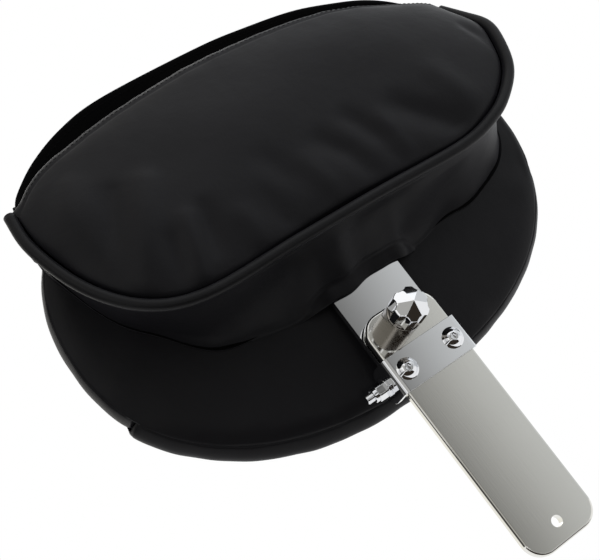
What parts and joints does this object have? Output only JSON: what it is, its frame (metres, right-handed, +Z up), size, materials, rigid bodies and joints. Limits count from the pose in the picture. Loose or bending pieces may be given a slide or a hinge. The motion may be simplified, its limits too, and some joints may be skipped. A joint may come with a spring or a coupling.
{
  "type": "rider backrest",
  "caption": "Folding rider's backrest with an oval padded rest, a sewn rear pouch and a knob-adjusted hinge on a flat polished mounting blade.",
  "frame": {"origin": "centre of the mounting hole in the blade, half way through the blade's thickness", "axes": "+X to the right seen from the rear, +Y forward towards the rider, +Z up along the blade"},
  "size_m": [0.334, 0.123, 0.3735],
  "materials": {
    "polished_steel": "polished",
    "chrome": "mirror",
    "zinc_steel": "satin",
    "black_vinyl": "satin grained",
    "black_piping": "satin grained",
    "pan_plastic": "matt",
    "foam": "matt"
  },
  "bodies": {
    "mount": {"blade": "polished_steel", "clevis_bracket": "chrome", "clevis_screw_left": "chrome", "clevis_screw_right": "chrome", "adjuster_boss": "chrome", "pivot_bolt": "chrome", "pivot_washer_left": "chrome", "pivot_washer_right": "chrome", "pivot_nut": "chrome"},
    "stud": {"adjuster_stud": "zinc_steel"},
    "knob": {"adjuster_knob": "chrome"},
    "backrest": {"hinge_barrel": "chrome", "support_bar": "chrome", "fixing_screw_1": "zinc_steel", "fixing_screw_2": "zinc_steel", "fixing_screw_3": "zinc_steel", "fixing_screw_4": "zinc_steel", "tee_nut_1": "zinc_steel", "tee_nut_2": "zinc_steel", "tee_nut_3": "zinc_steel", "tee_nut_4": "zinc_steel", "base_pan": "pan_plastic", "foam_cushion": "foam", "rear_cover": "black_vinyl", "lower_band": "black_vinyl", "upper_band": "black_vinyl", "front_cover": "black_vinyl", "pouch_back": "black_vinyl", "pouch_gusset": "black_vinyl", "pouch_front": "black_vinyl", "pouch_piping": "black_piping"}
  },
  "joints": [
    {"name": "fold", "type": "hinge", "parent": "mount", "child": "backrest", "pos_m": [0, 0.011, 0.118], "axis": [-1, 0, 0], "range_deg": [0, 75]},
    {"name": "stud_travel", "type": "slide", "parent": "mount", "child": "stud", "axis": [0, -1, 0], "range_m": [0, 0.00187]},
    {"name": "knob_turn", "type": "hinge", "parent": "stud", "child": "knob", "pos_m": [-0.0045, -0.03, 0.1433], "axis": [0, -1, 0], "range_deg": [0, 540]}
  ],
  "couplings": [
    {"joint": "knob_turn", "follows": "stud_travel", "rad_per_m": 5026.6}
  ]
}
